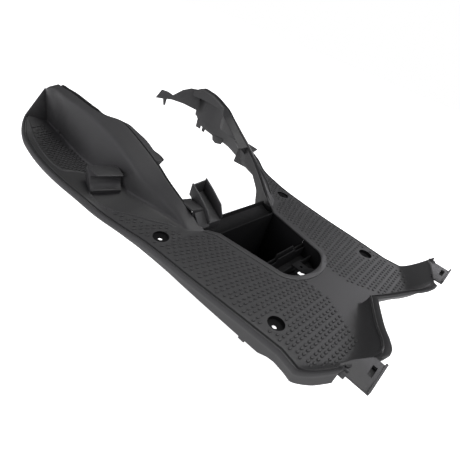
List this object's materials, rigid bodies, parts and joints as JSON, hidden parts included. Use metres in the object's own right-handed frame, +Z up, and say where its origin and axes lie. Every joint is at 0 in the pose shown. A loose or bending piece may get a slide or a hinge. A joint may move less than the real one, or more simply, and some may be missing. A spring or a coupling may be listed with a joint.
{
  "type": "scooter floorboard",
  "caption": "Moulded plastic scooter footboard with a tread deck, an open battery well, a raised front lip with two horns and two hollow side arms above the rear footwells.",
  "frame": {"origin": "middle of the rear pair of screw holes, in the plane of the screw seats, 6 mm below the tread on the centre line", "axes": "+X forward towards the horns, +Y to the rider's left, +Z up out of the tread"},
  "size_m": [0.6598, 0.439, 0.2105],
  "materials": {
    "plastic": "fine moulded grain, charcoal"
  },
  "bodies": {
    "root": {"floorboard": "plastic"}
  },
  "joints": []
}
